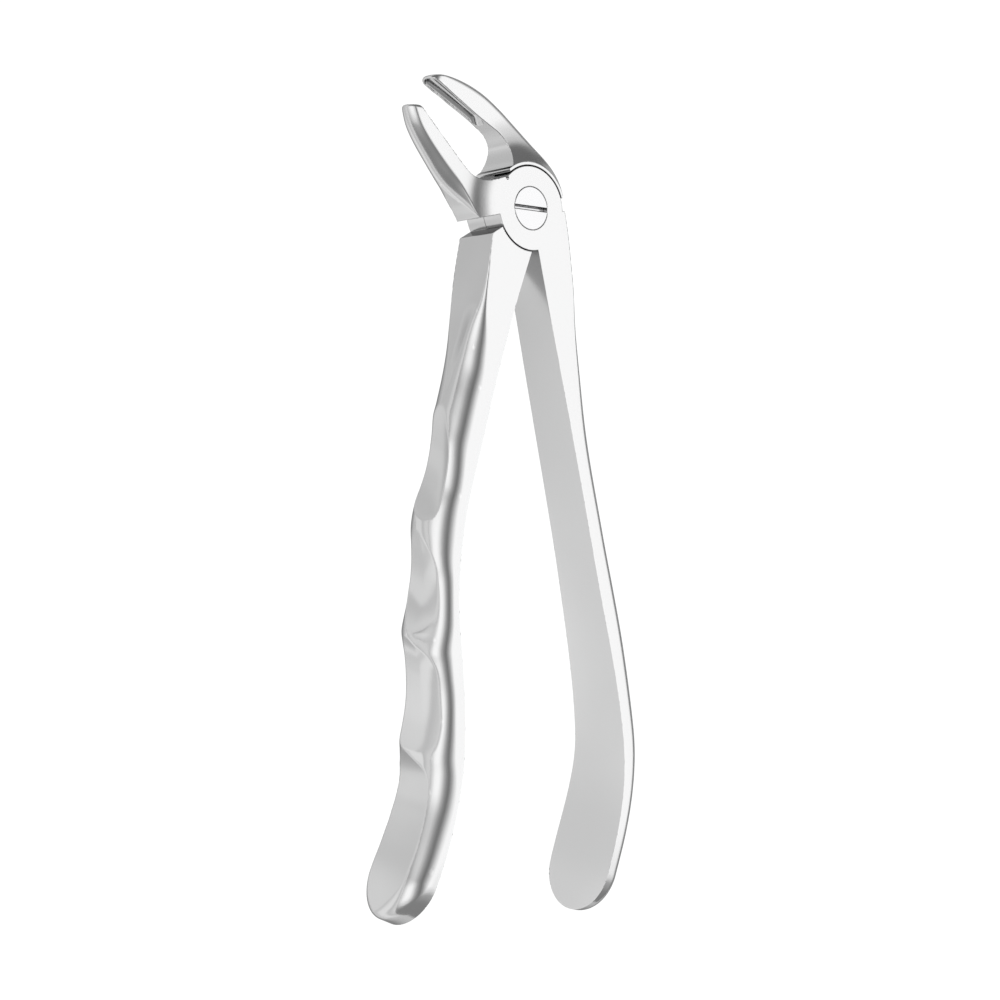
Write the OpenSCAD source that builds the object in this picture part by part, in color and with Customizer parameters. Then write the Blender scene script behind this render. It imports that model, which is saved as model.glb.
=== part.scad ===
// Extraction forceps with a screw lap joint, lying flat.
// +Z is the pivot axis, +Y points towards the beaks, -Y towards the handles.
// The origin is on the pivot axis, in the plane of the joint's lower face.

/* [Joint] */
// Thickness of the lap joint along the pivot axis
joint_t = 10.4; // [9:0.2:12]
// Radius of each half's round lap disc
disc_r = 8.4; // [8:0.1:8.6]
// Gap between a lap disc and the shoulder that wraps it
wrap_gap = 0.25; // [0.2:0.05:0.35]
// Gap between the two lap faces
lap_gap = 0.1; // [0.06:0.02:0.2]
// Outer radius of the thin rim that wraps the front disc at the upper beak
rim_r = 9.25; // [9.1:0.05:9.4]
// Outer radius of the raised root of the lower beak
root_r = 9.65; // [9.5:0.05:9.8]

/* [Pivot screw] */
// Radius of the flush slotted head
head_r = 4.3; // [4:0.1:4.6]
// Height of the head
head_h = 2.8; // [2:0.1:3.2]
// Radius of the plain journal that the front half turns on
journal_r = 3.0; // [2.6:0.1:3.4]
// Radius of the threaded end that is screwed into the rear half
thread_r = 2.5; // [2:0.1:2.5]
// Radial running clearance of the journal and the head
screw_gap = 0.05; // [0.03:0.01:0.09]
// Width of the driver slot
slot_w = 0.95; // [0.7:0.05:1.2]
// Depth of the driver slot
slot_depth = 1.3; // [0.8:0.1:1.6]

/* [Handles] */
// Thickness of the scalloped handle at its crests
crest_t = 7.5; // [7:0.1:8]
// Depth of the finger grooves below the crests
groove_depth = 2.6; // [1.5:0.1:3]
// Drop of a groove's line from the back edge to the front edge, per mm of width
groove_slant = 0.34; // [0:0.02:0.5]
// Rounding of the outer edge of the plain handle
plain_edge_r = 2.4; // [1:0.1:3]

/* [Beaks] */
// Depth of the hollow in the face of the upper beak
scoop_depth = 0.8; // [0.4:0.1:1]
// Radius of the round cutter that leaves the hollow
scoop_r = 2.3; // [2:0.1:3]

/* [Hidden] */
$fn = 96;
mid_z = joint_t / 2;
wrap_r = disc_r + wrap_gap;
through = joint_t + 8;

// Angles, seen from the front, of the stop faces about the pivot
root_top_angle = 141;
root_bottom_angle = 193.5;
rim_start_angle = 19;
rim_end_angle = 129;
shoulder_angle = 210.3;

// Stations down a handle: [y, x of the inner face, half width along Z]
left_inner = [
    [-8.6, 0.2, 5.18], [-16.5, -2.9, 5.22], [-25, -6.0, 5.35], [-35, -9.35, 5.5],
    [-49, -13.6, 5.7], [-59.5, -16.8, 5.82], [-70, -18.7, 5.95], [-80, -19.3, 6.25],
    [-90, -18.8, 6.7], [-100, -18.5, 7.1], [-110, -19.2, 7.55], [-119, -21.7, 8.3],
    [-128, -25.3, 8.85], [-137, -29.6, 8.8], [-139.8, -30.95, 8.8]
];
right_inner = [
    [-8.3, 1.9, 5.18], [-19, 4.5, 5.22], [-31, 7.35, 5.45], [-44, 10.45, 5.65],
    [-57, 13.5, 5.8], [-70, 16.45, 5.95], [-79, 18.4, 6.2], [-91, 21.0, 6.7],
    [-103, 23.0, 7.2], [-111.5, 23.65, 7.6], [-120.5, 22.3, 8.4], [-128, 20.05, 8.85],
    [-135.6, 17.4, 8.8], [-143.2, 15.2, 8.8]
];
// Thickness and outer edge radius down each handle: [y, thickness, edge radius]
left_body = [
    [-8, 10.2, 0.4], [-13, 9.6, 0.7], [-20, 7.95, 2.0], [-25, 6.95, 3.0], [-30, 7.0, 4.0],
    [-37, 7.3, 4.9], [-44, crest_t, 5.4], [-66, crest_t - 0.5, 5.6], [-84, crest_t + 0.1, 5.8],
    [-106, crest_t - 0.2, 5.4], [-112, 7.0, 4.2], [-140, 6.0, 4.0]
];
right_body = [
    [-8, 8.5, 0.3], [-13, 8.15, 0.3], [-18, 7.6, 0.4], [-23, 6.8, 0.7], [-35, 5.8, 1.8],
    [-44, 5.15, plain_edge_r], [-66, 4.8, plain_edge_r], [-80, 5.1, 2.6], [-102, 4.65, 2.7],
    [-110, 4.5, 2.5], [-116, 4.2, 2.5], [-124, 3.85, 2.4], [-143.2, 3.6, 2.4]
];
// Crest lines between the finger grooves, and thickness of the flat tail
crests = [-42.5, -63.8, -84.5, -108.5];
tail_t = 4.4;
round_end_r = 8.8;

// Stations along a beak, from the joint to the tip:
// [inner point, outer point, half width along Z, outer edge radius]
upper_beak_stations = [
    [[-3.4, 5.6], [7.6, 4.4], 4.9, 0.4],
    [[-4.5, 8.2], [6.9, 8.3], 4.6, 0.8],
    [[-4.1, 10.0], [5.3, 10.6], 4.0, 1.2],
    [[-4.3, 12.4], [2.6, 13.3], 3.1, 1.5],
    [[-6.1, 14.7], [-2.6, 18.0], 2.5, 1.6],
    [[-8.6, 16.1], [-5.6, 20.2], 2.2, 1.6],
    [[-11.9, 17.8], [-9.4, 22.3], 2.1, 1.6],
    [[-15.8, 19.9], [-13.9, 23.8], 2.2, 1.6],
    [[-19.6, 21.9], [-18.3, 24.5], 2.4, 1.2],
    [[-21.4, 22.85], [-20.8, 24.6], 2.3, 0.8],
    [[-22.6, 23.5], [-22.4, 24.4], 1.7, 0.4]
];
lower_beak_stations = [
    [[-7.0, 4.4], [-7.6, -1.7], 4.9, 0.4],
    [[-9.4, 4.7], [-10.2, -2.3], 4.7, 0.4],
    [[-11.4, 4.5], [-12.6, -2.9], 4.1, 0.4],
    [[-12.8, 4.9], [-13.7, -1.8], 3.7, 0.8],
    [[-13.9, 5.6], [-15.2, 0.0], 3.3, 1.6],
    [[-15.0, 6.7], [-16.8, 1.4], 3.1, 2.2],
    [[-16.4, 8.1], [-19.0, 3.4], 2.8, 2.3],
    [[-18.6, 10.5], [-22.2, 7.1], 2.5, 2.2],
    [[-21.1, 13.1], [-24.6, 10.2], 2.3, 2.0],
    [[-23.4, 15.5], [-26.6, 13.3], 2.4, 1.8],
    [[-24.7, 16.9], [-27.5, 15.7], 2.4, 1.4],
    [[-25.4, 17.8], [-27.5, 17.4], 1.7, 0.6]
];
// Straight line that the cutter of the upper beak's hollow follows, short of the tip
scoop_start = [-10.4, 17.0];
scoop_end = [-21.8, 23.07];

// Cubic interpolation of column c of a table whose first column falls
function slope_at(t, c, i) =
    let (a = t[max(i - 1, 0)], b = t[min(i + 1, len(t) - 1)])
    (b[c] - a[c]) / (b[0] - a[0]);
function row_below(t, y, i = 0) =
    i >= len(t) - 2 || y >= t[i + 1][0] ? i : row_below(t, y, i + 1);
function smooth_value(t, c, y) =
    let (i = row_below(t, y), a = t[i], b = t[i + 1], h = b[0] - a[0], u = (y - a[0]) / h)
    a[c] * (1 + 2 * u) * (1 - u) * (1 - u) + h * slope_at(t, c, i) * u * (1 - u) * (1 - u)
    + b[c] * u * u * (3 - 2 * u) + h * slope_at(t, c, i + 1) * u * u * (u - 1);
function plain_value(t, c, y) =
    let (i = row_below(t, y), a = t[i], b = t[i + 1], u = max(0, min(1, (y - a[0]) / (b[0] - a[0]))))
    a[c] + (b[c] - a[c]) * u;

// Height of the finger grooves' floor above the inner face, at y and at z from the middle
function groove_share(u) = 4 * u * (1 - u);
function groove_floor(y, z) =
    let (line = y + groove_slant * z)
    line > crests[0] ? crest_t + 3
    : line > crests[1] ? crest_t - groove_depth * groove_share((line - crests[1]) / (crests[0] - crests[1]))
    : line > crests[2] ? crest_t - groove_depth * groove_share((line - crests[2]) / (crests[1] - crests[2]))
    : line > crests[3] ? crest_t - groove_depth * groove_share((line - crests[3]) / (crests[2] - crests[3]))
    : max(tail_t, crest_t - (crests[3] - line) * 1.1);

// Outer face of a handle: height above the inner face at z from the middle
function rounded_height(t, half, r, z) =
    let (over = max(0, abs(z) - (half - r)))
    t - r + sqrt(max(0, r * r - over * over));

// Share of the half width that is left at distance e from the round end
function end_share(e) = sqrt(max(0, 1 - pow(max(0, 1 - e / round_end_r), 2)));

// Values of z across a ring, from one edge to the other, as shares of the half width
across = [for (k = [0 : 12]) -cos(k * 15)];

function handle_ring(inner, body, side, y, end_y, grooved) =
    let (
        x = smooth_value(inner, 1, y),
        lean = (smooth_value(inner, 1, y + 0.1) - smooth_value(inner, 1, y - 0.1)) / 0.2,
        n = side * [1, -lean] / sqrt(1 + lean * lean),
        e = (y - end_y) / cos(atan(lean)),
        half = smooth_value(inner, 2, y) * max(0.12, end_share(e)),
        r = min(plain_value(body, 2, y), half - 0.02),
        t = plain_value(body, 1, y) - max(0, 2.2 - e) * 0.55
    )
    concat(
        [for (s = across)
            let (z = s * half,
                 top = rounded_height(t, half, r, z),
                 q = grooved ? min(top, groove_floor(y, z) - max(0, 2.2 - e) * 0.55) : top)
            [x + n[0] * q, y + n[1] * q, mid_z + z]],
        [[x, y, mid_z + half], [x, y, mid_z - half]]
    );

function beak_ring(s) =
    let (a = s[0], b = s[1], half = s[2], r = s[3], t = norm(b - a), n = (b - a) / t)
    concat(
        [for (k = across)
            let (z = k * half, q = rounded_height(t, half, r, z))
            [a[0] + n[0] * q, a[1] + n[1] * q, mid_z + z]],
        [[a[0], a[1], mid_z + half], [a[0], a[1], mid_z - half]]
    );

// Solid through rings of equal size; the first ring faces back along the solid
module skin(rings, flip = false) {
    m = len(rings[0]);
    last = len(rings) - 1;
    sides = [for (j = [0 : last - 1], i = [0 : m - 1])
        let (a = j * m + i, b = j * m + (i + 1) % m, c = (j + 1) * m + (i + 1) % m, d = (j + 1) * m + i)
        each [[a, b, c], [a, c, d]]];
    caps = [for (i = [0 : m - 3])
        each [[m - 1, i + 1, i], [last * m + m - 1, last * m + i, last * m + i + 1]]];
    faces = concat(sides, caps);
    polyhedron(
        points = [for (r = rings) each r],
        faces = flip ? [for (f = faces) [for (i = [len(f) - 1 : -1 : 0]) f[i]]] : faces
    );
}

// Pie slice of radius r between two angles, from the pivot outwards
module slice(r, from, to) {
    intersection() {
        circle(r = r);
        polygon([[0, 0], for (a = [from : (to - from) / 6 : to + 0.01]) 3 * r * [cos(a), sin(a)]]);
    }
}

// Stations down a handle: close together where the grooves are
function handle_ys(top, end) =
    concat([for (y = [top : -3.2 : end + 10]) y], [for (e = [8, 6, 4.2, 2.8, 1.7, 0.9, 0.35, 0.05]) end + e]);

module left_handle() {
    end = left_inner[len(left_inner) - 1][0];
    skin([for (y = handle_ys(-11, end)) handle_ring(left_inner, left_body, -1, y, end, true)]);
    linear_extrude(joint_t) polygon([
        7.6 * [cos(shoulder_angle), sin(shoulder_angle)],
        11.45 * [cos(shoulder_angle), sin(shoulder_angle)],
        [-11.1, -14], [-1.95, -14], [0.2, -8.6], [0, -6]
    ]);
}

module right_handle() {
    end = right_inner[len(right_inner) - 1][0];
    skin([for (y = handle_ys(-11, end)) handle_ring(right_inner, right_body, 1, y, end, false)], flip = true);
    linear_extrude(joint_t) polygon([
        [1.9, -8.3], [3.2, -13.5], [10.95, -13.5], [10.3, -6], [9.4, -1], [9.0, 0.3], [7.4, 0.3], [1.6, -6]
    ]);
}

module rear_half() {
    color([0.78, 0.79, 0.80]) difference() {
        union() {
            cylinder(r = disc_r, h = joint_t);
            linear_extrude(joint_t) slice(rim_r, rim_start_angle, rim_end_angle);
            skin([for (s = upper_beak_stations) beak_ring(s)]);
            left_handle();
        }
        translate([0, 0, mid_z - lap_gap / 2]) cylinder(r = wrap_r, h = through);
        translate([0, 0, -1]) cylinder(r = thread_r, h = through);
        scoop();
    }
}

module scoop() {
    run = scoop_end - scoop_start;
    angle = atan2(run[1], run[0]);
    translate([scoop_start[0], scoop_start[1], mid_z])
        rotate([0, 0, angle])
        rotate([0, 90, 0])
        translate([0, scoop_r - scoop_depth, 0])
        cylinder(r = scoop_r, h = norm(run));
}

module front_half() {
    color([0.80, 0.81, 0.82]) difference() {
        union() {
            cylinder(r = disc_r, h = joint_t);
            linear_extrude(joint_t) slice(root_r, root_top_angle, root_bottom_angle);
            skin([for (s = lower_beak_stations) beak_ring(s)], flip = true);
            right_handle();
        }
        translate([0, 0, mid_z + lap_gap / 2 - through]) cylinder(r = wrap_r, h = through);
        cylinder(r = journal_r + screw_gap, h = through);
        translate([0, 0, joint_t - head_h]) cylinder(r = head_r + screw_gap, h = through);
    }
}

module pivot_screw() {
    color([0.70, 0.71, 0.73]) difference() {
        union() {
            cylinder(r = thread_r, h = mid_z);
            translate([0, 0, mid_z - lap_gap / 2]) cylinder(r = journal_r, h = mid_z - head_h + lap_gap);
            translate([0, 0, joint_t - head_h + screw_gap]) cylinder(r = head_r, h = head_h - screw_gap);
        }
        translate([-head_r - 1, -slot_w / 2, joint_t - slot_depth]) cube([2 * head_r + 2, slot_w, 4]);
    }
}

rear_half();
front_half();
pivot_screw();
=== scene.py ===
import bpy
import math
import numpy as np
from mathutils import Matrix, Vector


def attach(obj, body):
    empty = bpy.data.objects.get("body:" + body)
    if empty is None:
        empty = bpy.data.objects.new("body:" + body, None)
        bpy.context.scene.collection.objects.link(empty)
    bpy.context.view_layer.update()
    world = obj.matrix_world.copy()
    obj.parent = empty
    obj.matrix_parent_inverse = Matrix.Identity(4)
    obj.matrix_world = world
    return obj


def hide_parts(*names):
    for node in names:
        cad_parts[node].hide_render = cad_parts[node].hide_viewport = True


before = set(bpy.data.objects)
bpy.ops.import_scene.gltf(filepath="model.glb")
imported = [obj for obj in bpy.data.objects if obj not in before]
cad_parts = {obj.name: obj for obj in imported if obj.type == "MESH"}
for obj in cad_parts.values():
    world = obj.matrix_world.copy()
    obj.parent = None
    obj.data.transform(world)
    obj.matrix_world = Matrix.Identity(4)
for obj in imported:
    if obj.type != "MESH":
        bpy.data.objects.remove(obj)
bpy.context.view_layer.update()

# Shapes are worked out in millimetres, in the CAD frame, and turned to metres
# when a mesh is made. A shape is a function of x, y, z that is below zero inside.
MM = 0.001

# ---------------------------------------------------------------- sizes
JOINT_T = 10.4
MID = JOINT_T / 2
LAP = MID - 0.05            # height of a lap face above its half's own outer face
DISC_R = 8.4
WRAP_R = 8.65
RIM_R = 9.25
PLATEAU_R = 9.65
HEAD_R = 4.3
HEAD_H = 2.75
JOURNAL_R = 3.0
THREAD_R = 2.5
HOLE_GAP = 0.05
SLOT_W = 0.95
SLOT_DEPTH = 1.3
SLOT_FLOOR_R = 0.55
ROOT_TOP, ROOT_BOTTOM = 141.0, 193.5
RIM_START, RIM_END = 19.0, 129.0
SHOULDER_LEFT, SHOULDER_RIGHT = 210.3, 1.8
BREAK = 0.12                # rounding of an edge that looks sharp
CRISP = 0.03                # rounding of the edges round the handles' inner faces
FINE = 0.05                 # rounding of the rim's and the screw slot's edges
CHAMFER = 0.1               # on the screw's head and round the mouth of its seat
THREAD_PITCH, THREAD_DEPTH = 0.8, 0.28
THREAD_SLOPE, THREAD_CREST = 3, 0.25  # steepness of its sides and width of its crest, by turns
SCREW_TIP_BEVEL = 0.25
INTO_HEAD, INTO_JOURNAL = 1, 0.2      # how far the journal and the thread run on into them
JOINT_FROM, HANDLE_UPTO = -16, 12     # along Y: start of the joint's shapes, end of the handles'
RIM_CUT_R = 12              # the rim ends at RIM_END only this near the pivot
RIM_EDGE = 0.06
UPPER_ROOT_LEAN, UPPER_ROOT = 0.35, 3.0
LOWER_ROOT_X = -2           # the lower beak's root stays left of this
DEEP, AWAY = -9.0, 50.0     # distances that stand for well inside and well outside
NOTCH_X, NOTCH_Y, NOTCH_R = -6.3, 5.42, 0.42

# Down each handle: y, x of the inner face
LEFT_X = [(-8.6, 0.2), (-16.5, -2.9), (-25, -6.0), (-35, -9.35), (-49, -13.6),
          (-59.5, -16.8), (-70, -18.7), (-80, -19.3), (-90, -18.8), (-100, -18.5),
          (-110, -19.2), (-119, -21.7), (-128, -25.3), (-137, -29.6), (-139.8, -30.95)]
RIGHT_X = [(-8.3, 1.9), (-19, 4.5), (-31, 7.35), (-44, 10.45), (-57, 13.5),
           (-70, 16.45), (-79, 18.4), (-91, 21.0), (-103, 23.0), (-111.5, 23.65),
           (-120.5, 22.3), (-128, 20.05), (-135.6, 17.4), (-143.2, 15.2)]
# y, half width along Z
LEFT_HALF = [(-8.6, 5.2), (-16.5, 5.2), (-25, 5.33), (-35, 5.5), (-49, 5.7), (-59.5, 5.82),
             (-70, 5.95), (-80, 6.25), (-90, 6.7), (-100, 7.1), (-110, 7.55), (-119, 8.3),
             (-126, 8.8), (-140, 8.8)]
RIGHT_HALF = [(-8.3, 5.2), (-19, 5.22), (-31, 5.45), (-44, 5.65), (-57, 5.8), (-70, 5.95),
              (-79, 6.2), (-91, 6.7), (-103, 7.2), (-111.5, 7.6), (-120.5, 8.4),
              (-126, 8.8), (-143, 8.8)]
# y, thickness from the inner face to the outer one
RIGHT_T = [(-1.8, 9.0), (-3.1, 9.0), (-8, 8.7), (-13, 8.15), (-18, 7.6), (-23, 6.8),
           (-35, 5.8), (-44, 5.15), (-66, 4.8), (-80, 5.1), (-102, 4.65), (-110, 4.5),
           (-116, 4.2), (-124, 3.85), (-143.2, 3.5)]
# y, how high above the inner face the rounding of the back edge would reach if it went
# all the way round, and its radius
LEFT_BACK_T = [(-7, 11.0), (-10.9, 10.3), (-14.2, 9.7), (-17.6, 9.0), (-20.8, 8.2), (-24.1, 7.45),
               (-27.5, 7.15), (-31, 7.15), (-36, 7.35), (-41.5, 7.65), (-43.6, 7.7), (-45, 7.4),
               (-46.7, 7.0), (-48.5, 6.7), (-51, 6.4), (-55.5, 6.35), (-57.5, 6.6), (-60, 6.9),
               (-64, 6.95), (-65.5, 6.75), (-67.5, 6.25), (-70.5, 5.8), (-73.5, 5.65), (-76.5, 5.95),
               (-79, 6.3), (-81.5, 7.0), (-83.8, 7.5), (-85.5, 7.25), (-88, 6.85), (-92, 6.62),
               (-96, 6.65), (-100, 7.0), (-103, 7.35), (-105.8, 7.5), (-107.8, 7.0), (-109.7, 6.4),
               (-112, 6.0), (-140, 6.0)]
LEFT_R_BACK = [(-7, 0.15), (-20, 0.25), (-25, 0.6), (-30, 2.6), (-35, 4.3), (-39, 5.2), (-64, 5.4),
               (-84, 5.6), (-106, 5.2), (-110, 4.4), (-114, 2.0), (-118, 0.5), (-140, 0.5)]
# y, rounding between the outer face and the front edge, and how high above the inner
# face that rounding would reach if it went all the way round
LEFT_R = [(-7, 0.1), (-13, 0.2), (-18, 0.7), (-21.4, 1.2), (-23.6, 2.0), (-25.7, 3.1), (-27.8, 4.0),
          (-30, 4.7), (-32.2, 5.0), (-35, 5.4), (-40, 5.5), (-49, 5.5), (-53, 5.2), (-57, 5.0),
          (-61, 5.5), (-67, 5.6), (-71, 4.9), (-75, 4.1), (-80, 4.0), (-84, 4.6), (-88, 5.0),
          (-91, 4.4), (-97, 4.1), (-102, 4.3), (-106, 5.0), (-110, 5.6), (-126, 5.5), (-131, 5.0),
          (-135, 4.2), (-140, 3.3)]
LEFT_FRONT_T = [(-7, 11.0), (-9.6, 10.5), (-13, 9.7), (-17, 8.75), (-19, 8.45), (-21.4, 8.1),
                (-25.7, 8.05), (-30, 7.95), (-34.5, 7.65), (-41, 7.75), (-46, 7.75), (-50, 7.55),
                (-52.5, 6.95), (-55, 6.35), (-57.5, 6.1), (-60, 6.5), (-63, 6.7), (-66, 6.6),
                (-69, 6.2), (-71.5, 5.6), (-74, 4.75), (-77, 4.4), (-80, 4.45), (-82.5, 4.85),
                (-85, 5.7), (-87.5, 6.45), (-89, 6.2), (-91.5, 5.8), (-95, 5.45), (-99, 5.45),
                (-103, 5.8), (-106, 6.25), (-109, 6.5), (-112, 6.05), (-115, 5.75), (-118, 5.65),
                (-122, 5.75), (-131, 5.75), (-135, 5.65), (-140, 5.6)]
RIGHT_R = [(-8, 0.15), (-18, 0.3), (-23, 0.7), (-35, 1.8), (-44, 2.4), (-66, 2.4),
           (-80, 2.6), (-102, 2.7), (-110, 2.5), (-124, 2.4), (-143, 2.4)]

# Finger grooves: drop of the upper and of the lower end's line towards the front, per mm,
# cross curve of the front half of the floor, and the height of the floor down the groove
GROOVES = [
    (0.32, 0.50, 0.16, [(-36, 9.5), (-40, 8.25), (-42.5, 7.55), (-45, 6.95), (-48, 6.1), (-51, 5.3),
                        (-54, 4.85), (-57, 4.8), (-59.5, 5.05), (-61.3, 5.6), (-62.6, 6.45), (-63.6, 7.3),
                        (-64.6, 8.3)]),
    (0.34, 0.85, -0.15, [(-61, 8.9), (-63.5, 7.75), (-65, 7.05), (-67, 6.15), (-69, 5.3), (-71.5, 4.6),
                         (-74, 4.35), (-76.5, 4.4), (-79, 4.8), (-81.5, 5.75), (-84.4, 7.4), (-86, 8.4),
                         (-88, 9.6)]),
    (0.28, 0.30, -0.15, [(-80, 10), (-83, 8.4), (-84.6, 7.5), (-86.5, 6.6), (-88.5, 5.95), (-91, 5.62),
                         (-94, 5.5), (-97, 5.5), (-100, 5.62), (-103, 5.95), (-105.5, 6.4), (-107.3, 6.9),
                         (-108.6, 7.35), (-110, 8.0), (-112, 9.0)]),
]
GROOVE_SPAN = 5             # from the middle plane, along Z, where the cross curve is counted
GROOVE_EDGE = 0.15
ROUND_SPARE = 0.05          # the rounding's radius stays this much under the half width
# The back rounding turns into the front one between these, along Z, and starts
# earlier by TAIL_BLEND on the tail, which is the flat at the left handle's end
BLEND_START, BLEND_STOP, TAIL_BLEND = -1.5, 4.0, 7
TAIL_FROM, TAIL_FULL = 112, 122
TAIL_SLANT, TAIL_RISE, TAIL_LEVEL = 0.05, 0.17, 1.3
TAIL_EDGE, TAIL_END_EDGE, TAIL_END_SOFT = 0.5, 1.2, 0.9
TAIL_END_FROM, TAIL_SOFT_FROM, TAIL_END = 130, 132, 139
TAIL = [(-102, 10.4), (-106, 8.3), (-108.6, 6.8), (-110.5, 5.7), (-113, 4.7), (-116, 4.2),
        (-120, 4.05), (-126, 4.05), (-131, 4.25), (-140, 4.35)]

# Beaks: outlines in the XY plane, from the joint to the tip
UPPER_OUT = [(9.1, 1.0), (8.75, 3.4), (8.1, 6.0), (6.95, 8.4), (5.3, 10.6), (2.6, 13.35), (-1.2, 16.85),
             (-5.1, 19.9), (-9.3, 22.25), (-13.9, 23.7), (-18.4, 24.25), (-21.4, 24.2), (-24, 23.9)]
UPPER_IN = [(-6.6, 5.6), (-5.5, 6.85), (-4.5, 8.4), (-4.05, 10.0), (-4.3, 12.3), (-6.1, 14.7),
            (-8.4, 16.05), (-10.9, 17.35), (-16, 20.05), (-21.3, 22.85), (-25, 24.8)]
LOWER_OUT = [(-11.6, -4.3), (-12.73, -2.87), (-13.75, -1.76), (-14.6, -0.7), (-16.7, 1.3), (-18.9, 3.24),
             (-20.85, 5.4), (-22.5, 7.5), (-24.4, 9.9), (-25.85, 11.95), (-27.05, 14.1), (-27.8, 16.3),
             (-28.2, 18.2)]
LOWER_IN = [(-5.6, 5.9), (-7.0, 5.5), (-9.0, 4.9), (-11.5, 4.5), (-13.6, 5.3), (-15.6, 7.2),
            (-18.4, 10.3), (-21.1, 13.1), (-23.4, 15.5), (-25.3, 17.6)]
# Distance from the pivot, half width along Z
UPPER_HALF = [(8.4, 5.6), (9.2, 5.18), (10.35, 4.5), (11.6, 3.82), (12.9, 3.24), (14.4, 2.78),
              (15.9, 2.46), (18, 2.15), (20.4, 2.02), (24, 2.08), (28, 2.25), (32, 2.5), (36, 2.6)]
LOWER_HALF = [(8.0, 5.2), (9.65, 5.2), (10.2, 5.13), (10.7, 5.03), (11.2, 4.9), (11.7, 4.73), (12.3, 4.5),
              (12.8, 4.28), (13.4, 3.98), (14.0, 3.7), (14.5, 3.53), (15.2, 3.35), (16, 3.2), (17, 3.05),
              (19, 2.8), (21, 2.58), (24, 2.4), (27, 2.28), (30, 2.1), (32, 1.9), (34, 1.8)]
LOWER_HALF_BACK = [(8.0, 5.2), (9.65, 5.2), (10.4, 4.95), (11.5, 4.15), (12.6, 3.1), (13.3, 2.6),
                   (14.5, 2.35), (16, 2.4), (18, 2.5), (20, 2.5), (24, 2.4), (27, 2.28), (30, 2.1),
                   (32, 1.9), (34, 1.8)]
# Distance from the pivot, rounding of the outer edges
UPPER_R = [(9, 0.2), (10.5, 0.6), (12, 1.2), (14, 1.5), (18, 1.6), (24, 1.6), (28, 1.2), (30, 0.8),
           (31.5, 0.45), (34, 0.3)]
LOWER_R_BACK = [(12.9, 0.12), (15, 0.2), (16.5, 1.0), (18, 2.0), (20, 2.4), (24, 2.25), (34, 1.7)]
# Distance from the pivot, width of the flat along the lower beak's front outer edge
LOWER_FLAT = [(12.9, 0.0), (13.6, 0.25), (14.2, 0.65), (15.2, 1.25), (16.5, 1.8), (18, 2.1), (20, 2.1),
              (24, 1.9), (34, 1.4)]
LOWER_FLAT_ANGLE = math.radians(30)
BEAK_TIP = 31.2             # along the straight inner face of the upper beak
SCOOP_END_POINT = (-8.5, 16.1)
SCOOP_RIM, SCOOP_DEPTH = 0.42, 1.25
SCOOP_START, SCOOP_FADE, SCOOP_TIP = 2.4, 2.5, 1.7    # length of its narrow start, fade-in and round tip
SCOOP_WALL = 0.3            # least steel left behind it
FLUTE_HEIGHT, FLUTE_PITCH = 0.025, 1.4
UPPER_EDGE = 0.18
TIP_R = 2.35
LOWER_TIP_Y, LOWER_TIP_R = 17.75, 0.7
LOWER_SIDE_R, LOWER_SIDE_SHARE = 0.1, 0.9   # rounding beside the flat, plus this share of its width

# ---------------------------------------------------------------- helpers for shapes
def dense(points, step=0.1, blur=0.0, reach=40.0):
    """A smooth line through (a, b) points as two arrays, with straight ends."""
    p = np.array(sorted(points), float)
    a, b = p[:, 0], p[:, 1]
    slope = np.gradient(b, a)
    t = np.arange(a[0], a[-1] + step / 2, step)
    i = np.clip(np.searchsorted(a, t) - 1, 0, len(a) - 2)
    h = a[i + 1] - a[i]
    u = (t - a[i]) / h
    v = (b[i] * (1 + 2 * u) * (1 - u) ** 2 + h * slope[i] * u * (1 - u) ** 2
         + b[i + 1] * u * u * (3 - 2 * u) + h * slope[i + 1] * u * u * (u - 1))
    n = int(reach / step)
    low = v[0] - (v[1] - v[0]) * np.arange(n, 0, -1)
    high = v[-1] + (v[-1] - v[-2]) * np.arange(1, n + 1)
    v = np.concatenate([low, v, high])
    t = t[0] + step * np.arange(-n, len(v) - n)
    if blur:
        k = int(3 * blur / step)
        w = np.exp(-0.5 * (np.arange(-k, k + 1) * step / blur) ** 2)
        v[k:-k] = np.convolve(v, w / w.sum(), "valid")
    return t, v


class Line:
    """A smooth line through points, read at any place; level ends stay flat."""

    def __init__(self, points, blur=0.0, level=False):
        if level:
            p = sorted(points)
            points = [(p[0][0] - 1, p[0][1]), *p, (p[-1][0] + 1, p[-1][1])]
        self.t, self.v = dense(points, blur=blur)
        if level:
            lo, hi = points[0][0], points[-1][0]
            self.v[self.t < lo] = points[0][1]
            self.v[self.t > hi] = points[-1][1]

    def __call__(self, a):
        return np.interp(a, self.t, self.v)


def rmax(a, b, r):
    """The larger of two distances, with the edge rounded to radius r."""
    return np.hypot(np.maximum(a + r, 0), np.maximum(b + r, 0)) + np.minimum(np.maximum(a, b), -r)


def beyond(x, y, degrees, sign):
    """Distance past a radial plane; sign 1 is positive counter-clockwise of it."""
    c, s = math.cos(math.radians(degrees)), math.sin(math.radians(degrees))
    return sign * (c * y - s * x)


class Strip:
    """Position along and away from a handle's inner face."""

    def __init__(self, points, side, blur=2.5):
        self.t, self.x = dense(points, blur=blur)
        self.m = np.gradient(self.x, self.t)
        self.side = side
        self.end = min(p[0] for p in points)

    def __call__(self, x, y):
        foot = y
        for _ in range(3):
            m = np.interp(foot, self.t, self.m)
            k = 1 / np.sqrt(1 + m * m)
            dx = x - np.interp(foot, self.t, self.x)
            dy = y - foot
            q = self.side * (dx - m * dy) * k
            foot = foot + (m * dx + dy) * k * k
        return q, foot, k


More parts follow.
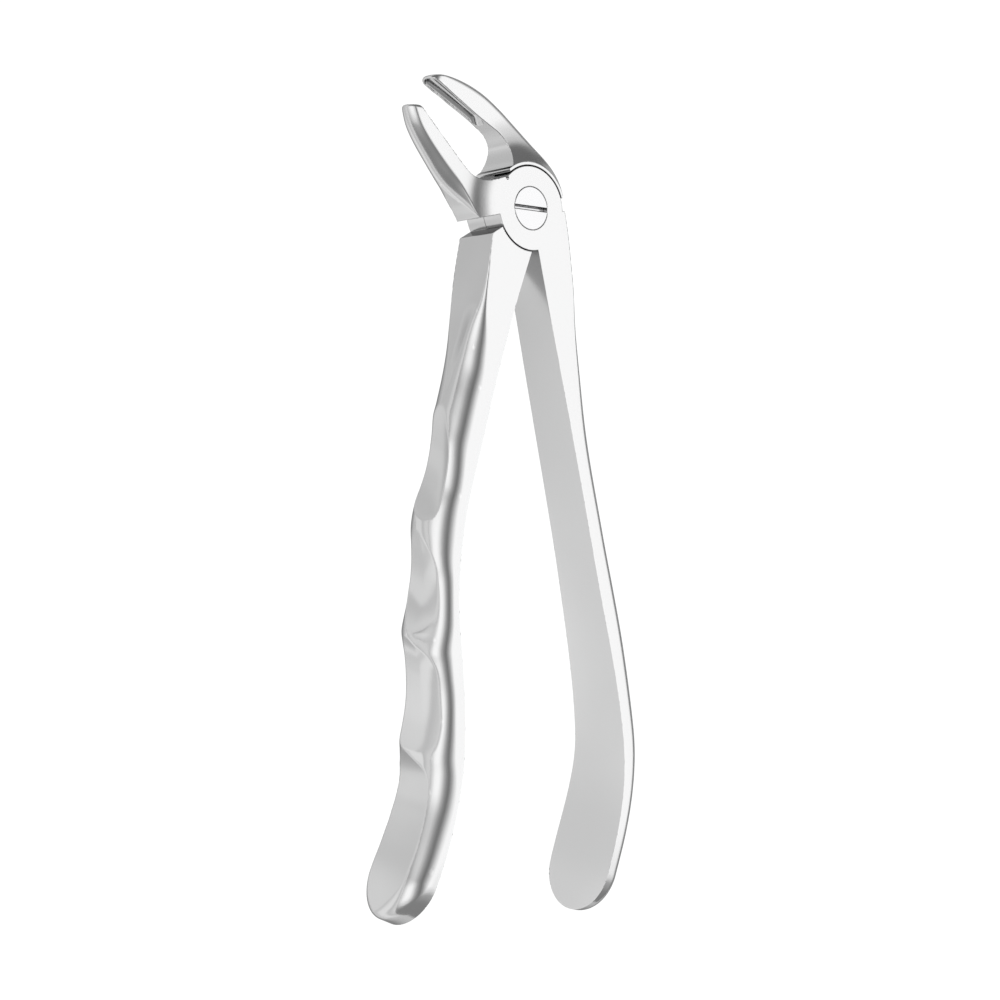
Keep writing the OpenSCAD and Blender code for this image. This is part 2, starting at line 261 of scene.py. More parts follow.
class Curve:
    """Signed distance to an open smooth curve in the XY plane, kept on a grid."""
    X0, X1, Y0, Y1, STEP = -38.0, 18.0, -12.0, 34.0, 0.16

    def __init__(self, points, side):
        p = np.array(points, float)
        t = np.concatenate([[0], np.cumsum(np.hypot(*np.diff(p, axis=0).T))])
        cx, cy = [dense(list(zip(t, p[:, i])), blur=0.5, reach=20)[1] for i in range(2)]
        mx, my = np.gradient(cx), np.gradient(cy)
        n = np.hypot(mx, my)
        mx, my = mx / n, my / n
        arc = np.concatenate([[0], np.cumsum(np.hypot(np.diff(cx), np.diff(cy)))])
        gx = np.arange(self.X0, self.X1, self.STEP)
        gy = np.arange(self.Y0, self.Y1, self.STEP)
        x, y = [g.ravel() for g in np.meshgrid(gx, gy, indexing="ij")]
        sparse = np.arange(0, len(cx), 4)
        near = np.empty(len(x), int)
        for i in range(0, len(x), 20000):
            d = (x[i:i + 20000, None] - cx[sparse]) ** 2 + (y[i:i + 20000, None] - cy[sparse]) ** 2
            near[i:i + 20000] = sparse[d.argmin(1)]
        at = arc[near]
        for _ in range(3):
            fx, fy = np.interp(at, arc, cx), np.interp(at, arc, cy)
            ux, uy = np.interp(at, arc, mx), np.interp(at, arc, my)
            at = at + (x - fx) * ux + (y - fy) * uy
        fx, fy = np.interp(at, arc, cx), np.interp(at, arc, cy)
        ux, uy = np.interp(at, arc, mx), np.interp(at, arc, my)
        d = side * ((x - fx) * uy - (y - fy) * ux)
        self.d = d.reshape(len(gx), len(gy))

    def __call__(self, x, y):
        nx, ny = self.d.shape
        u = np.clip((x - self.X0) / self.STEP, 0, nx - 1.001)
        v = np.clip((y - self.Y0) / self.STEP, 0, ny - 1.001)
        i, j = u.astype(int), v.astype(int)
        u, v = u - i, v - j
        d = self.d
        return (d[i, j] * (1 - u) * (1 - v) + d[i + 1, j] * u * (1 - v)
                + d[i, j + 1] * (1 - u) * v + d[i + 1, j + 1] * u * v)


# ---------------------------------------------------------------- handles
left_strip, right_strip = Strip(LEFT_X, -1), Strip(RIGHT_X, 1)
left_half, right_half = Line(LEFT_HALF, 1.5, True), Line(RIGHT_HALF, 1.5, True)
left_back_t, right_t = Line(LEFT_BACK_T, 0.6, True), Line(RIGHT_T, 1.5, True)
left_r, right_r = Line(LEFT_R, 1.0, True), Line(RIGHT_R, 1.5, True)
left_r_back, left_front_t = Line(LEFT_R_BACK, 1.5, True), Line(LEFT_FRONT_T, 0.8, True)
tail_floor = Line(TAIL, 0.5)
groove_floors = [Line(points, 0.5) for _, _, _, points in GROOVES]


def outline(half, along, z):
    """Distance outside a handle's outline, seen square to its inner face."""
    return np.hypot(np.maximum(half - along, 0), z) - half


def eased(value, start, stop):
    """From 0 at the start to 1 at the stop, smoothly."""
    u = np.clip((value - start) / (stop - start), 0, 1)
    return u * u * (3 - 2 * u)


def left_handle(x, y, z):
    """The handle with finger grooves; z counts from the middle plane."""
    q, foot, k = left_strip(x, y)
    half, back_t, back_r = left_half(foot), left_back_t(foot), left_r_back(foot)
    share = eased(z, BLEND_START - TAIL_BLEND * eased(-foot, TAIL_FROM, TAIL_FULL), BLEND_STOP)
    r = np.minimum(back_r + (left_r(foot) - back_r) * share, half - ROUND_SPARE)
    t = back_t + (left_front_t(foot) - back_t) * share
    side = outline(half, (foot - left_strip.end) / k, z)
    body = rmax(side, q - t, r)
    front = np.maximum(z, 0)
    floor = np.full_like(q, DEEP)
    for (slant_a, slant_b, curve, points), line in zip(GROOVES, groove_floors):
        u = np.clip((points[2][0] - foot) / (points[2][0] - points[-3][0]), 0, 1)
        height = line(foot + (slant_a + (slant_b - slant_a) * u) * z)
        floor = np.maximum(floor, q - height - curve * front * front / GROOVE_SPAN)
    tail = q - tail_floor(foot + TAIL_SLANT * z) - TAIL_RISE * (z + TAIL_LEVEL)
    tail = rmax(side, tail, TAIL_EDGE + TAIL_END_EDGE * eased(-foot, TAIL_END_FROM, TAIL_END))
    body = rmax(body, floor, GROOVE_EDGE)
    soft = GROOVE_EDGE + TAIL_END_SOFT * eased(-foot, TAIL_SOFT_FROM, TAIL_END)
    return rmax(rmax(body, tail, soft), -q, CRISP)


def right_handle(x, y, z):
    """The plain handle, flat inside and rounded outside."""
    q, foot, k = right_strip(x, y)
    half, t, r = right_half(foot), right_t(foot), right_r(foot)
    side = outline(half, (foot - right_strip.end) / k, z)
    return rmax(rmax(side, q - t, r), -q, CRISP)


# ---------------------------------------------------------------- beaks
upper_out, upper_in = Curve(UPPER_OUT, 1), Curve(UPPER_IN, -1)
lower_out, lower_in = Curve(LOWER_OUT, -1), Curve(LOWER_IN, 1)
upper_half, lower_half = Line(UPPER_HALF, 0.15, True), Line(LOWER_HALF, 0.35, True)
lower_half_back = Line(LOWER_HALF_BACK, 0.35, True)
upper_r = Line(UPPER_R, 0.5, True)
lower_flat, lower_r_back = Line(LOWER_FLAT, 0.3, True), Line(LOWER_R_BACK, 0.3, True)
beak_run = Vector((UPPER_IN[-2][0] - UPPER_IN[-4][0], UPPER_IN[-2][1] - UPPER_IN[-4][1])).normalized()


def bulge(share):
    """Quarter circle from 0 at a share of 0 to 1 at a share of 1."""
    return np.sqrt(np.clip(1 - (1 - np.clip(share, 0, 1)) ** 2, 0, 1))


def upper_beak(x, y, z):
    """The beak with a fluted hollow in its inner face."""
    far = np.hypot(x, y)
    half = upper_half(far)
    inner, outer = upper_in(x, y), upper_out(x, y)
    run = x * beak_run.x + y * beak_run.y
    e = TIP_R - (BEAK_TIP - run)
    corner = np.maximum(np.abs(z) - (half - TIP_R), 0)
    side = np.where(e > 0, np.hypot(e, corner) - TIP_R, np.abs(z) - half)
    side = rmax(side, np.abs(z) - MID, FINE)
    body = rmax(side, outer, upper_r(far))
    start = SCOOP_END_POINT[0] * beak_run.x + SCOOP_END_POINT[1] * beak_run.y
    s, length = run - start, BEAK_TIP - SCOOP_RIM - start
    width = (half - SCOOP_RIM) * bulge(s / SCOOP_START) * bulge((length - s) / SCOOP_TIP)
    over = np.abs(z) / np.maximum(width, 0.01)
    deep = SCOOP_DEPTH * np.sqrt(np.clip(1 - over * over, 0, 1)) * eased(s, 0, SCOOP_FADE)
    flutes = FLUTE_HEIGHT * (1 + np.cos(z * (2 * math.pi / FLUTE_PITCH)))
    deep = np.where((over < 1) & (s > 0) & (s < length), deep - np.minimum(flutes, deep * 0.5), 0)
    deep = np.minimum(deep, np.maximum(-(inner + outer) - SCOOP_WALL, 0))
    body = rmax(body, inner, UPPER_EDGE)
    return np.maximum(body, inner + deep)


def lower_beak(x, y, z):
    """The beak with a flat along its front outer edge."""
    far = np.hypot(x, y)
    inner, outer = lower_in(x, y), lower_out(x, y)
    top, flat = z - lower_half(far), lower_flat(far)
    bevel = top * math.cos(LOWER_FLAT_ANGLE) + (outer + flat) * math.sin(LOWER_FLAT_ANGLE)
    front = rmax(rmax(top, bevel, BREAK), outer, LOWER_SIDE_R + LOWER_SIDE_SHARE * flat)
    back = rmax(-z - lower_half_back(far), outer, lower_r_back(far))
    body = np.maximum(front, back)
    body = rmax(body, y - LOWER_TIP_Y, LOWER_TIP_R)
    return rmax(body, inner, BREAK)


# ---------------------------------------------------------------- the two halves
DIAGONAL = 0.7071           # turns the sum of two distances at a right angle into one distance


def disc(r, h):
    """A lap disc; h is the height above the half's own outer face."""
    return rmax(rmax(r - DISC_R, -h, BREAK), h - LAP, BREAK)


def half_shape(x, y, height, wings):
    """A lap disc with its wings, which the other half's disc is cut out of."""
    r = np.hypot(x, y)
    recess = np.maximum(r - WRAP_R, LAP - height)
    return np.minimum(disc(r, height), rmax(wings, -recess, BREAK))


def rear_shape(x, y, z):
    """Rear half: lap disc, left handle, rim, upper beak and the screw's hole."""
    c = z - MID
    top = y > JOINT_FROM
    out = np.full_like(x, AWAY)
    low = y < HANDLE_UPTO
    out[low] = left_handle(x[low], y[low], c[low])
    if top.any():
        a, b, h = x[top], y[top], z[top]
        wing = rmax(out[top], -beyond(a, b, SHOULDER_LEFT, 1), BREAK)
        r = np.hypot(a, b)
        rim = rmax(r - RIM_R, np.maximum(-h, h - JOINT_T), RIM_EDGE)
        beak = upper_beak(a, b, h - MID)
        up = np.minimum(rim, beak)
        up = rmax(up, np.where(r < RIM_CUT_R, beyond(a, b, RIM_END, 1), DEEP), BREAK)
        up = np.maximum(up, -beyond(a, b, RIM_START, 1))
        up = np.maximum(up, UPPER_ROOT - (a * UPPER_ROOT_LEAN + b))
        shape = half_shape(a, b, h, np.minimum(wing, up))
        out[top] = np.maximum(shape, THREAD_R - r)
    return out


def front_shape(x, y, z):
    """Front half: lap disc, right handle, raised root, lower beak and the screw's seat."""
    c = z - MID
    top = y > JOINT_FROM
    out = np.full_like(x, AWAY)
    low = y < HANDLE_UPTO
    out[low] = right_handle(x[low], y[low], c[low])
    if top.any():
        a, b, h = x[top], y[top], z[top]
        wing = rmax(out[top], beyond(a, b, SHOULDER_RIGHT, 1), BREAK)
        r = np.hypot(a, b)
        root = rmax(r - PLATEAU_R, np.maximum(-h, h - JOINT_T), FINE)
        root = rmax(root, lower_in(a, b), BREAK)
        beak = np.minimum(root, lower_beak(a, b, h - MID))
        beak = rmax(beak, -beyond(a, b, ROOT_TOP, 1), BREAK)
        beak = rmax(beak, beyond(a, b, ROOT_BOTTOM, 1), BREAK)
        beak = np.maximum(beak, a - LOWER_ROOT_X)
        shape = half_shape(a, b, JOINT_T - h, np.minimum(wing, beak))
        notch = np.hypot(a - NOTCH_X, b - NOTCH_Y) - NOTCH_R
        shape = np.maximum(shape, -notch)
        shape = rmax(shape, JOURNAL_R + HOLE_GAP - r, BREAK)
        out[top] = cut_head(shape, r, h)
    return out


def cut_head(shape, r, h):
    """Sinks the seat of the screw's head, with a small bevel round its mouth."""
    seat = np.maximum(r - HEAD_R - HOLE_GAP, (JOINT_T - HEAD_H - HOLE_GAP) - h)
    mouth = (r - HEAD_R - HOLE_GAP + (JOINT_T - h) - CHAMFER) * DIAGONAL
    return np.maximum(np.maximum(shape, -seat), -mouth)


def screw_shape(x, y, z):
    """Slotted head, plain journal and threaded end."""
    r = np.hypot(x, y)
    head = np.maximum(r - HEAD_R, np.maximum(z - JOINT_T, (JOINT_T - HEAD_H) - z))
    head = np.maximum(head, (r - HEAD_R + z - JOINT_T + CHAMFER) * DIAGONAL)
    journal = np.maximum(r - JOURNAL_R, np.maximum(LAP - z, z - JOINT_T + INTO_HEAD))
    turn = z / THREAD_PITCH - np.arctan2(y, x) / (2 * math.pi)
    cut = THREAD_DEPTH * np.clip(np.abs(turn - np.round(turn)) * THREAD_SLOPE - THREAD_CREST, 0, 1)
    core = np.maximum(r - THREAD_R + HOLE_GAP + cut, np.maximum(-z, z - LAP - INTO_JOURNAL))
    core = np.maximum(core, (r - THREAD_R - z + SCREW_TIP_BEVEL) * DIAGONAL)
    bottom = SLOT_FLOOR_R - np.hypot(y, z - JOINT_T + SLOT_DEPTH - SLOT_FLOOR_R)
    low = z < JOINT_T - SLOT_DEPTH + SLOT_FLOOR_R
    slot = np.maximum(np.abs(y) - SLOT_W / 2, np.where(low, -bottom, DEEP))
    whole = np.minimum(np.minimum(head, journal), core)
    return rmax(whole, -slot, FINE)


# ---------------------------------------------------------------- surface of a shape
BLOCK = 6                   # grid lines to a block, which is looked at whole first
NEAR_SHARE, NEAR = 0.75, 0.4    # a block counts as near within this share of its diagonal plus this
STEADY = 0.03               # how strongly a mesh point is held near the middle of its crossings
PULL = 0.35                 # how far towards a quad's middle its corner normals are measured


def axis(parts):
    """Grid lines from (start, stop, step) parts that follow each other."""
    out = []
    for a, b, s in parts:
        n = max(1, round((b - a) / s))
        out.append(a + (b - a) * np.arange(n) / n)
    out.append([parts[-1][1]])
    return np.concatenate(out)


def evaluate(shape, p, chunk=200000):
    """The shape's values at many points, a chunk at a time to spare memory."""
    return np.concatenate([shape(*p[i:i + chunk].T) for i in range(0, len(p), chunk)])


def sample(shape, axes, block=BLOCK):
    """The shape's values on a grid, worked out only near its surface."""
    size = [len(a) for a in axes]
    centres, spans = [], []
    for a in axes:
        starts = np.arange(0, len(a), block)
        stops = np.minimum(starts + block - 1, len(a) - 1)
        centres.append((a[starts] + a[stops]) / 2)
        spans.append(a[np.minimum(stops + 1, len(a) - 1)] - a[starts])
    cx, cy, cz = np.meshgrid(*centres, indexing="ij")
    sx, sy, sz = np.meshgrid(*spans, indexing="ij")
    coarse = evaluate(shape, np.stack([cx.ravel(), cy.ravel(), cz.ravel()], 1)).reshape(cx.shape)
    reach = NEAR_SHARE * np.sqrt(sx ** 2 + sy ** 2 + sz ** 2) + NEAR
    active = np.abs(coarse) < reach
    whole = coarse
    for i in range(3):
        whole = np.repeat(whole, block, axis=i)
    whole = np.ascontiguousarray(whole[:size[0], :size[1], :size[2]])
    mask = active
    for i in range(3):
        mask = np.repeat(mask, block, axis=i)
    mask = mask[:size[0], :size[1], :size[2]]
    i, j, k = np.nonzero(mask)
    whole[i, j, k] = evaluate(shape, np.stack([axes[0][i], axes[1][j], axes[2][k]], 1))
    return whole


def gradient(shape, p, h=0.02):
    """Unit vectors out of the shape, from its values a step h to both sides."""
    g = np.stack([evaluate(shape, p + d) - evaluate(shape, p - d) for d in np.eye(3) * h], 1)
    return g / np.maximum(np.linalg.norm(g, axis=1, keepdims=True), 1e-12)


def skin(shape, axes):
    """Dual contouring: points, quads, and a normal for each corner of each quad."""
    f = sample(shape, axes)
    inside = f < 0
    n = np.array(f.shape)
    points, quads, flips = [], [], []
    for a in range(3):
        one = [slice(None)] * 3
        two = [slice(None)] * 3
        one[a], two[a] = slice(0, -1), slice(1, None)
        ijk = np.stack(np.nonzero(inside[tuple(one)] != inside[tuple(two)]), 1)
        b, c = (a + 1) % 3, (a + 2) % 3
        keep = (ijk[:, b] > 0) & (ijk[:, c] > 0) & (ijk[:, b] < n[b] - 1) & (ijk[:, c] < n[c] - 1)
        ijk = ijk[keep]
        nxt = ijk.copy()
        nxt[:, a] += 1
        f0, f1 = f[tuple(ijk.T)], f[tuple(nxt.T)]
        p0 = np.stack([axes[i][ijk[:, i]] for i in range(3)], 1)
        p1 = np.stack([axes[i][nxt[:, i]] for i in range(3)], 1)
        lo, hi = p0.copy(), p1.copy()
        for _ in range(4):
            t = np.clip(f0 / (f0 - f1), 0.05, 0.95)[:, None]
            p = lo + (hi - lo) * t
            v = evaluate(shape, p)
            same = (v < 0) == (f0 < 0)
            lo[same], hi[~same] = p[same], p[~same]
            f0, f1 = np.where(same, v, f0), np.where(same, f1, v)
        t = np.clip(f0 / (f0 - f1), 0, 1)[:, None]
        points.append(lo + (hi - lo) * t)
        four = []
        for db, dc in ((-1, -1), (0, -1), (0, 0), (-1, 0)):
            cell = ijk.copy()
            cell[:, b] += db
            cell[:, c] += dc
            four.append((cell[:, 0] * n[1] + cell[:, 1]) * n[2] + cell[:, 2])
        quads.append(np.stack(four, 1))
        flips.append(~inside[tuple(ijk.T)])
    points = np.concatenate(points)
    quads, flips = np.concatenate(quads), np.concatenate(flips)
    normals = gradient(shape, points)
    ids, index = np.unique(quads.ravel(), return_inverse=True)
    quads = index.reshape(-1, 4)
    cell = quads.ravel()
    p4, n4 = np.repeat(points, 4, axis=0), np.repeat(normals, 4, axis=0)
    count = np.bincount(cell, minlength=len(ids)).astype(float)
    mass = np.stack([np.bincount(cell, p4[:, i], len(ids)) for i in range(3)], 1) / count[:, None]
    offset = ((p4 - mass[cell]) * n4).sum(1)
    m = np.empty((len(ids), 3, 3))
    v = np.empty((len(ids), 3))
    for i in range(3):
        v[:, i] = np.bincount(cell, n4[:, i] * offset, len(ids))
        for j in range(3):
            m[:, i, j] = np.bincount(cell, n4[:, i] * n4[:, j], len(ids))
    m += np.eye(3) * (STEADY * count)[:, None, None]
    x = mass + np.linalg.solve(m, v[:, :, None])[:, :, 0]
    at = np.stack(np.unravel_index(ids, n), 1)
    lo = np.stack([axes[i][at[:, i]] for i in range(3)], 1)
    hi = np.stack([axes[i][at[:, i] + 1] for i in range(3)], 1)
    x = np.clip(x, lo, hi)
    quads[flips] = quads[flips][:, ::-1]
    centre = x[quads].mean(1)
    corner = x[quads] + (centre[:, None] - x[quads]) * PULL
    loop_normals = gradient(shape, corner.reshape(-1, 3))
    return x, quads, loop_normals


def mesh_object(name, shape, axes):
    """A piece with the shape's surface, smooth shaded with the shape's own normals."""
    points, quads, normals = skin(shape, axes)
    mesh = bpy.data.meshes.new(name)
    mesh.vertices.add(len(points))
    mesh.vertices.foreach_set("co", (points * MM).astype(np.float32).ravel())
    mesh.loops.add(quads.size)
    mesh.loops.foreach_set("vertex_index", quads.astype(np.int32).ravel())
    mesh.polygons.add(len(quads))
    mesh.polygons.foreach_set("loop_start", np.arange(0, quads.size, 4, dtype=np.int32))
    mesh.update(calc_edges=True)
    mesh.polygons.foreach_set("use_smooth", np.ones(len(quads), bool))
    mesh.normals_split_custom_set(normals)
    mesh.update()
    obj = bpy.data.objects.new(name, mesh)
    bpy.context.scene.collection.objects.link(obj)
    return obj


# ---------------------------------------------------------------- materials
MARKS_STRETCH = 0.03        # scale of the marks along the tool, against across it
MARKS_SHARE = 0.5           # weight of the marks in the finish, next to the clouds
CLOUD_SCALE = 90.0
FINISH_RANGE = (0.45, 1.05)
ROUGH_RANGE = (0.88, 1.14)  # times the mean roughness
WORN_RANGE = (0.53, 0.62)   # pointiness where wear starts and is full
WORN_ROUGH, WORN_BRIGHT = -0.05, 1.12     # added to the roughness, times the colour
EDGE_TINT = (0.3, 0.3, 0.3, 1)            # of the reflection at a glancing angle


def steel(name, colour, rough, scale):
    """Bright steel; scale sets how fine its marks are across the tool."""
    mat = bpy.data.materials.new(name)
    mat.use_nodes = True
    nodes, links = mat.node_tree.nodes, mat.node_tree.links
    nodes.clear()
    out = nodes.new("ShaderNodeOutputMaterial")
    bsdf = nodes.new("ShaderNodeBsdfPrincipled")
    links.new(bsdf.outputs["BSDF"], out.inputs["Surface"])
    bsdf.inputs["Metallic"].default_value = 1.0
    bsdf.inputs["Specular Tint"].default_value = EDGE_TINT
    coord = nodes.new("ShaderNodeTexCoord")
    # Long fine polishing marks along the tool
    marks_map = nodes.new("ShaderNodeMapping")
    marks_map.inputs["Scale"].default_value = (scale, scale * MARKS_STRETCH, scale)
    links.new(coord.outputs["Object"], marks_map.inputs["Vector"])
    marks = nodes.new("ShaderNodeTexNoise")
    marks.inputs["Scale"].default_value = 1.0
    marks.inputs["Detail"].default_value = 4.0
    links.new(marks_map.outputs["Vector"], marks.inputs["Vector"])
    # Broad cloudy change of the finish
    cloud = nodes.new("ShaderNodeTexNoise")
    cloud.inputs["Scale"].default_value = CLOUD_SCALE
    cloud.inputs["Detail"].default_value = 3.0
    links.new(coord.outputs["Object"], cloud.inputs["Vector"])
    both = nodes.new("ShaderNodeMath")
    both.operation = "MULTIPLY_ADD"
    both.inputs[1].default_value = MARKS_SHARE
    links.new(marks.outputs["Fac"], both.inputs[0])
    links.new(cloud.outputs["Fac"], both.inputs[2])
    rough_range = nodes.new("ShaderNodeMapRange")
    rough_range.inputs["From Min"].default_value = FINISH_RANGE[0]
    rough_range.inputs["From Max"].default_value = FINISH_RANGE[1]
    rough_range.inputs["To Min"].default_value = rough * ROUGH_RANGE[0]
    rough_range.inputs["To Max"].default_value = rough * ROUGH_RANGE[1]
    links.new(both.outputs["Value"], rough_range.inputs["Value"])
    # Edges are rubbed brighter and smoother in use
    geometry = nodes.new("ShaderNodeNewGeometry")
    worn = nodes.new("ShaderNodeMapRange")
    worn.inputs["From Min"].default_value = WORN_RANGE[0]
    worn.inputs["From Max"].default_value = WORN_RANGE[1]
    links.new(geometry.outputs["Pointiness"], worn.inputs["Value"])
    rubbed = nodes.new("ShaderNodeMath")
    rubbed.operation = "MULTIPLY_ADD"
    rubbed.inputs[1].default_value = WORN_ROUGH
    links.new(worn.outputs["Result"], rubbed.inputs[0])
    links.new(rough_range.outputs["Result"], rubbed.inputs[2])
    links.new(rubbed.outputs["Value"], bsdf.inputs["Roughness"])
    tone = nodes.new("ShaderNodeMix")
    tone.data_type = "RGBA"
    tone.inputs["A"].default_value = (*colour, 1)
    tone.inputs["B"].default_value = (*[min(1, c * WORN_BRIGHT) for c in colour], 1)
    links.new(worn.outputs["Result"], tone.inputs["Factor"])
    links.new(tone.outputs["Result"], bsdf.inputs["Base Color"])
    bump = nodes.new("ShaderNodeBump")
    bump.inputs["Strength"].default_value = 0.02
    bump.inputs["Distance"].default_value = 0.0001
    links.new(marks.outputs["Fac"], bump.inputs["Height"])
    links.new(bump.outputs["Normal"], bsdf.inputs["Normal"])
    return mat


STEEL = (0.523, 0.523, 0.524)
forged = steel("forged_steel_satin", STEEL, 0.17, 9000.0)
screw_steel = steel("screw_steel_turned", (0.54, 0.54, 0.545), 0.15, 12000.0)

# ---------------------------------------------------------------- pieces
# Grid steps: across, then along Y for the ends of the handles, their roots, and
# the joint with the beaks, then along Z beyond and within the joint's thickness
STEP_X = 0.29
STEP_ENDS, STEP_ROOTS, STEP_BEAKS = 0.47, 0.42, 0.217
STEP_OUTER, STEP_INNER = 0.3, 0.203
STEP_SCREW = 0.1
ROOTS_FROM, BEAKS_FROM = -40, -14
OUTER_Z, INNER_Z = 9.2, 5.6           # from the middle plane
SCREW_REACH, SCREW_LOW, SCREW_HIGH = 4.6, -0.33, 10.7


def half_axes(x0, x1, y0, y1):
    """Grid of a half: finest at the joint and the beaks."""
    along = [(y0, ROOTS_FROM, STEP_ENDS), (ROOTS_FROM, BEAKS_FROM, STEP_ROOTS), (BEAKS_FROM, y1, STEP_BEAKS)]
    low, start, stop, high = MID - OUTER_Z, MID - INNER_Z, MID + INNER_Z, MID + OUTER_Z
    through = [(low, start, STEP_OUTER), (start, stop, STEP_INNER), (stop, high, STEP_OUTER)]
    return [axis([(x0, x1, STEP_X)]), axis(along), axis(through)]


rear = mesh_object("rear_half_skin", rear_shape, half_axes(-41.5, 10.7, -143.8, 25.6))
front = mesh_object("front_half_skin", front_shape, half_axes(-29.6, 30.5, -145.0, 19.2))
screw_across = axis([(-SCREW_REACH, SCREW_REACH, STEP_SCREW)])
screw_along = axis([(SCREW_LOW, SCREW_HIGH, STEP_SCREW)])
screw = mesh_object("pivot_screw_skin", screw_shape, [screw_across, screw_across, screw_along])
for obj, node, body, mat, slot in (
        (rear, "rear_half", "rear", forged, "forged_steel"),
        (front, "front_half", "front", forged, "forged_steel"),
        (screw, "pivot_screw", "rear", screw_steel, "screw_steel")):
    obj.data.materials.append(mat)
    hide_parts(node)
    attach(obj, body)

# ---------------------------------------------------------------- light levels
def ramp(source, low, high, stops):
    """Light strength from an angle or height: stops are (value, strength)."""
    span = nodes.new("ShaderNodeMapRange")
    span.inputs["From Min"].default_value = low
    span.inputs["From Max"].default_value = high
    links.new(source, span.inputs["Value"])
    node = nodes.new("ShaderNodeValToRGB")
    node.color_ramp.interpolation = "EASE"
    links.new(span.outputs["Result"], node.inputs["Fac"])
    elements = node.color_ramp.elements
    while len(elements) > 1:
        elements.remove(elements[-1])
    for i, (value, strength) in enumerate(stops):
        at = (value - low) / (high - low)
        e = elements[0] if i == 0 else elements.new(at)
        e.position = at
        e.color = (strength, strength, strength, 1)
    return node.outputs["Color"]


def mixed(share, a, b):
    """Blend of a and b, which are outputs or plain strengths."""
    node = nodes.new("ShaderNodeMix")
    node.data_type = "RGBA"
    links.new(share, node.inputs["Factor"])
    for value, name in ((a, "A"), (b, "B")):
        if isinstance(value, float):
            node.inputs[name].default_value = (value, value, value, 1)
        else:
            links.new(value, node.inputs[name])
    return node.outputs["Result"]


# ---------------------------------------------------------------- floor
# The floor and the light and shade painted on it are in metres, as Blender has them
FLOOR_DROP = 0.12
FLOOR_SIZE = 8.0
FLOOR_TONE = 0.1
floor_mesh = bpy.data.meshes.new("floor")
s = FLOOR_SIZE / 2
floor_mesh.from_pydata([(-s, -s, 0), (s, -s, 0), (s, s, 0), (-s, s, 0)], [], [(0, 1, 2, 3)])
floor = bpy.data.objects.new("floor", floor_mesh)
bpy.context.scene.collection.objects.link(floor)
floor.location = (0, 0, -FLOOR_DROP)
floor_mat = bpy.data.materials.new("floor_painted_glow")
floor_mat.use_nodes = True
nodes, links = floor_mat.node_tree.nodes, floor_mat.node_tree.links
nodes.clear()
out = nodes.new("ShaderNodeOutputMaterial")
diffuse = nodes.new("ShaderNodeBsdfDiffuse")
diffuse.inputs["Color"].default_value = (FLOOR_TONE, FLOOR_TONE, FLOOR_TONE, 1)
# The floor glows with painted light and shade, in soft strips along the handles, left of the tool, which the
# steel shows in its reflections
glow = nodes.new("ShaderNodeEmission")
place = nodes.new("ShaderNodeTexCoord")
part = nodes.new("ShaderNodeSeparateXYZ")
links.new(place.outputs["Object"], part.inputs["Vector"])
NEAR_STRIP = [(-0.15, 1.4), (-0.104, 1.36), (-0.096, 1.04), (-0.088, 1.02), (-0.06, 1.0),
              (-0.03, 1.15), (0.01, 0.98)]
MIDDLE_STRIP = [(-0.16, 1.05), (-0.11, 1.02), (-0.085, 0.98), (-0.07, 0.93), (-0.058, 0.86),
                (-0.05, 0.84), (-0.035, 1.1), (-0.02, 1.1), (0.0, 0.95), (0.025, 0.86), (0.05, 0.83)]
OUTER_STRIP = [(-0.13, 1.28), (-0.1, 1.24), (-0.08, 1.15), (-0.02, 1.12), (0.0, 0.95),
               (0.025, 0.86), (0.05, 0.83)]
near_strip, middle_strip, outer_strip = [
    ramp(part.outputs["Y"], -0.2, 0.1, stops) for stops in (NEAR_STRIP, MIDDLE_STRIP, OUTER_STRIP)]
far_painted_shading = ramp(part.outputs["X"], -1.0, 0.0, [(-0.6, 1.08), (-0.4, 0.95), (-0.25, 0.82)])
# Painted light: the floor glows evenly at 0.98, with the painted light and shade of the strips mixed in
# beside the tool
painted_light_colour = 0.98
for start, stop, strip in ((-0.052, -0.057, near_strip), (-0.072, -0.078, middle_strip),
                           (-0.108, -0.114, outer_strip), (-0.19, -0.25, far_painted_shading)):
    share = ramp(part.outputs["X"], -0.5, 0.0, [(stop, 1.0), (start, 0.0)])
    painted_light_colour = mixed(share, painted_light_colour, strip)
links.new(painted_light_colour, glow.inputs["Color"])
add = nodes.new("ShaderNodeAddShader")
links.new(diffuse.outputs[0], add.inputs[0])
links.new(glow.outputs[0], add.inputs[1])
links.new(add.outputs[0], out.inputs["Surface"])
floor_mesh.materials.append(floor_mat)

# ---------------------------------------------------------------- light
world = bpy.data.worlds.new("studio")
bpy.context.scene.world = world
world.use_nodes = True
nodes, links = world.node_tree.nodes, world.node_tree.links
nodes.clear()
out = nodes.new("ShaderNodeOutputWorld")
back = nodes.new("ShaderNodeBackground")
links.new(back.outputs[0], out.inputs["Surface"])
coord = nodes.new("ShaderNodeTexCoord")
split = nodes.new("ShaderNodeSeparateXYZ")
links.new(coord.outputs["Generated"], split.inputs[0])
turn = nodes.new("ShaderNodeMath")
turn.operation = "ARCTAN2"
links.new(split.outputs["X"], turn.inputs[0])
links.new(split.outputs["Z"], turn.inputs[1])

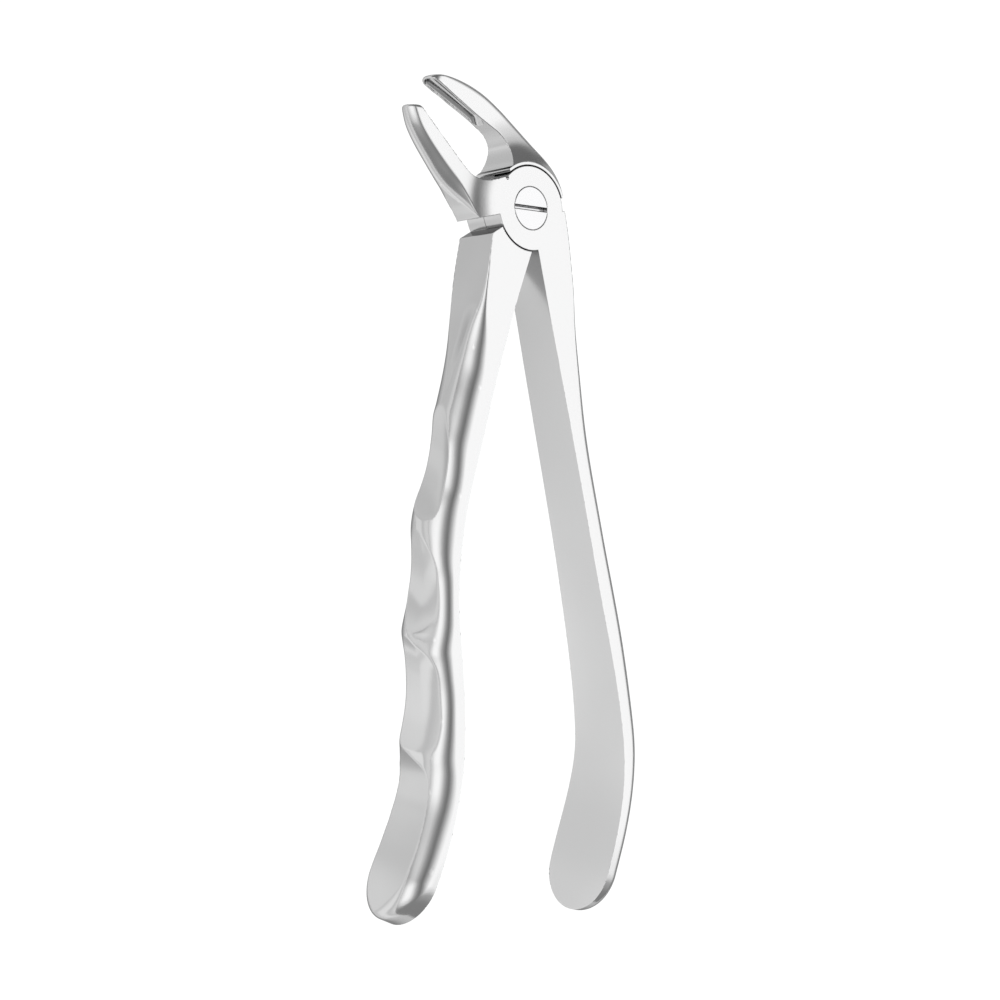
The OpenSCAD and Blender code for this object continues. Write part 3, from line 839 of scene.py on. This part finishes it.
# Sky: degrees about Y, from +Z towards +X, and strength
AROUND = [(-180, 0.9), (-97, 0.9), (-92, 0.84), (-82, 1.24), (-72, 1.72), (-62, 1.8), (-53, 1.74),
          (-43, 1.27), (-34, 0.745), (-25, 0.444), (-15, 0.27), (-6, 0.55), (2, 0.95), (10, 1.4),
          (18, 1.7), (26, 1.79), (60, 1.8), (70, 1.5), (77, 0.8), (84, 0.32), (90, 0.28), (97, 0.7),
          (180, 0.9)]
around = ramp(turn.outputs[0], -math.pi, math.pi, [(math.radians(a), s) for a, s in AROUND])
# Dimmer towards the handles' end and above the beaks
DIM_LOW, DIM_HIGH = 0.39, 0.26
low_share = ramp(split.outputs["Y"], -1, 1, [(-0.8, 1.0), (-0.55, 0.85), (-0.32, 0.35), (-0.12, 0.0)])
high_share = ramp(split.outputs["Y"], -1, 1, [(0.3, 0.0), (0.5, 0.4), (0.72, 1.0)])
links.new(mixed(high_share, mixed(low_share, around, DIM_LOW), DIM_HIGH), back.inputs["Color"])
back.inputs["Strength"].default_value = 1.0

# ---------------------------------------------------------------- camera
VIEW_ANGLE = math.radians(40.3)       # from +Z towards -X
LENS, SENSOR = 65.88, 36.0
camera_data = bpy.data.cameras.new("camera")
camera_data.sensor_width = SENSOR
camera_data.lens = LENS
camera_data.clip_start = 0.01
camera_data.clip_end = 10
camera = bpy.data.objects.new("camera", camera_data)
bpy.context.scene.collection.objects.link(camera)
right = Vector((math.cos(VIEW_ANGLE), 0, math.sin(VIEW_ANGLE)))
up = Vector((0, 1, 0))
towards = Vector((-math.sin(VIEW_ANGLE), 0, math.cos(VIEW_ANGLE)))
REACH = 366.0               # millimetres from the joint's front face
ASIDE, BELOW = 6.28, 58.36  # the line of sight passes the joint this far to its left and below it
joint_front = Vector((0, 0, JOINT_T))
place = joint_front + towards * REACH - right * ASIDE - up * BELOW
rotation = Matrix((right, up, towards)).transposed()
camera.matrix_world = Matrix.Translation(place * MM) @ rotation.to_4x4()
bpy.context.scene.camera = camera
bpy.context.scene.view_settings.view_transform = "Standard"
